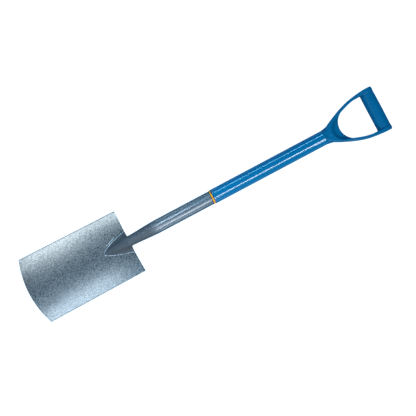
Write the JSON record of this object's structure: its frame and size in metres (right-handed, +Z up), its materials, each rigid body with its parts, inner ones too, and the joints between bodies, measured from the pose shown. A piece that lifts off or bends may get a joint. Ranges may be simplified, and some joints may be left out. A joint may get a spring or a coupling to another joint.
{
  "type": "border spade",
  "caption": "Border spade: dished steel blade welded to a tube shaft by a V-shaped foot, plastic sleeve with a band at its lower end, moulded YD handle.",
  "frame": {"origin": "on the ground below the middle of the overall length, with the spade lying on its back", "axes": "+X along the shaft towards the handle, +Z up out of the blade's front face, +Y across"},
  "size_m": [0.8578, 0.1478, 0.0713],
  "materials": {
    "hammer_finish": "glossy grey hammer-finish coat with a fine mottle",
    "weld_finish": "the same grey coat over lumpy weld beads",
    "ring_plastic": "satin orange",
    "sleeve_plastic": "glossy blue",
    "handle_plastic": "satin blue moulding",
    "rivet_metal": "plain zinc-plated steel"
  },
  "bodies": {
    "root": {"blade": "hammer_finish", "shaft_tube": "hammer_finish", "foot_weld_left": "weld_finish", "foot_weld_right": "weld_finish", "heel_weld": "weld_finish", "ring_band": "ring_plastic", "shaft_sleeve": "sleeve_plastic", "handle_yoke": "handle_plastic", "handle_rivet": "rivet_metal"}
  },
  "joints": []
}
